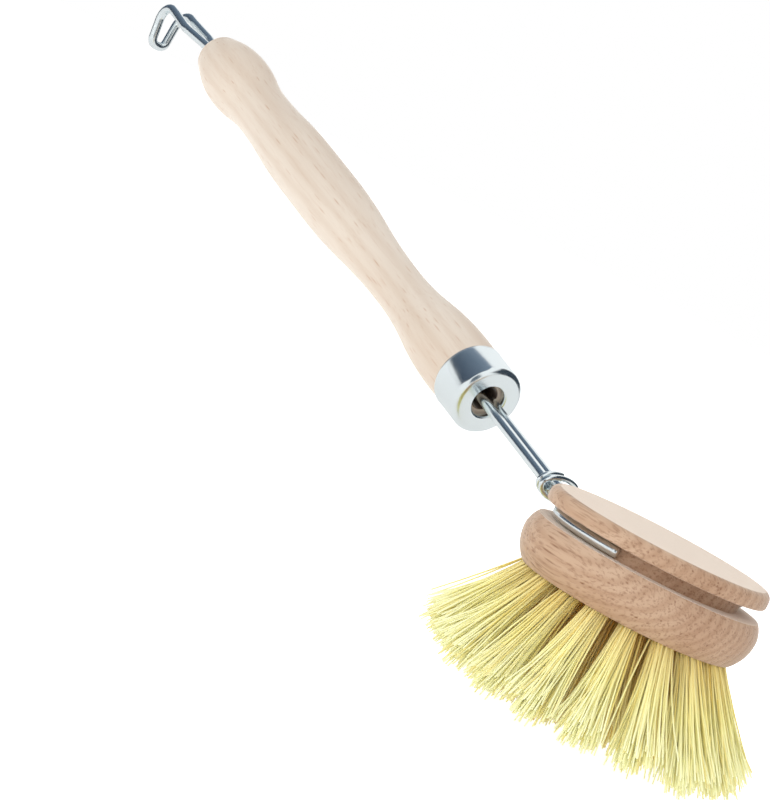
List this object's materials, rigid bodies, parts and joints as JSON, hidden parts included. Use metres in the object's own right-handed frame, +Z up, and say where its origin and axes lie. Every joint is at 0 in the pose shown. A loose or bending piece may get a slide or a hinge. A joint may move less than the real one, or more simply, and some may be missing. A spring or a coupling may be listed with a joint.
{
  "type": "dish brush",
  "caption": "Wooden dish brush with a turned handle, wire neck and hanging hook, sliding lock ring and a round replaceable head of splayed plant-fibre tufts.",
  "frame": {"origin": "under the middle of the whole brush, at the level of the tuft tips", "axes": "+Z up along the head's axis and out of its back, +X from the handle to the head, +Y sideways"},
  "size_m": [0.245, 0.065, 0.0785],
  "materials": {
    "handle_beech": "bare sanded beech",
    "head_beech": "bare turned beech",
    "plated_steel": "bright plated steel",
    "anchor_steel": "bare flat steel strip",
    "plant_fibre": "pale stiff plant fibre"
  },
  "bodies": {
    "handle_body": {"handle": "handle_beech", "ferrule": "plated_steel", "wire_frame": "plated_steel"},
    "ring_body": {"lock_ring": "plated_steel"},
    "head_body": {"head_block": "head_beech", "head_back": "head_beech", "tuft_anchors": "anchor_steel", "tuft_outer_01": "plant_fibre", "tuft_outer_02": "plant_fibre", "tuft_outer_03": "plant_fibre", "tuft_outer_04": "plant_fibre", "tuft_outer_05": "plant_fibre", "tuft_outer_06": "plant_fibre", "tuft_outer_07": "plant_fibre", "tuft_outer_08": "plant_fibre", "tuft_outer_09": "plant_fibre", "tuft_outer_10": "plant_fibre", "tuft_outer_11": "plant_fibre", "tuft_outer_12": "plant_fibre", "tuft_outer_13": "plant_fibre", "tuft_outer_14": "plant_fibre", "tuft_outer_15": "plant_fibre", "tuft_outer_16": "plant_fibre", "tuft_outer_17": "plant_fibre", "tuft_outer_18": "plant_fibre", "tuft_middle_01": "plant_fibre", "tuft_middle_02": "plant_fibre", "tuft_middle_03": "plant_fibre", "tuft_middle_04": "plant_fibre", "tuft_middle_05": "plant_fibre", "tuft_middle_06": "plant_fibre", "tuft_middle_07": "plant_fibre", "tuft_middle_08": "plant_fibre", "tuft_middle_09": "plant_fibre", "tuft_middle_10": "plant_fibre", "tuft_middle_11": "plant_fibre", "tuft_middle_12": "plant_fibre", "tuft_inner_01": "plant_fibre", "tuft_inner_02": "plant_fibre", "tuft_inner_03": "plant_fibre", "tuft_inner_04": "plant_fibre", "tuft_inner_05": "plant_fibre", "tuft_inner_06": "plant_fibre", "tuft_centre": "plant_fibre"}
  },
  "joints": [
    {"name": "lock_ring_slide", "type": "slide", "parent": "handle_body", "child": "ring_body", "axis": [-0.9688, 0, 0.2478], "range_m": [0, 0.026]},
    {"name": "head_turn", "type": "hinge", "parent": "handle_body", "child": "head_body", "pos_m": [0.08957, 0, 0.0318], "axis": [0, 0, 1], "continuous": true}
  ]
}
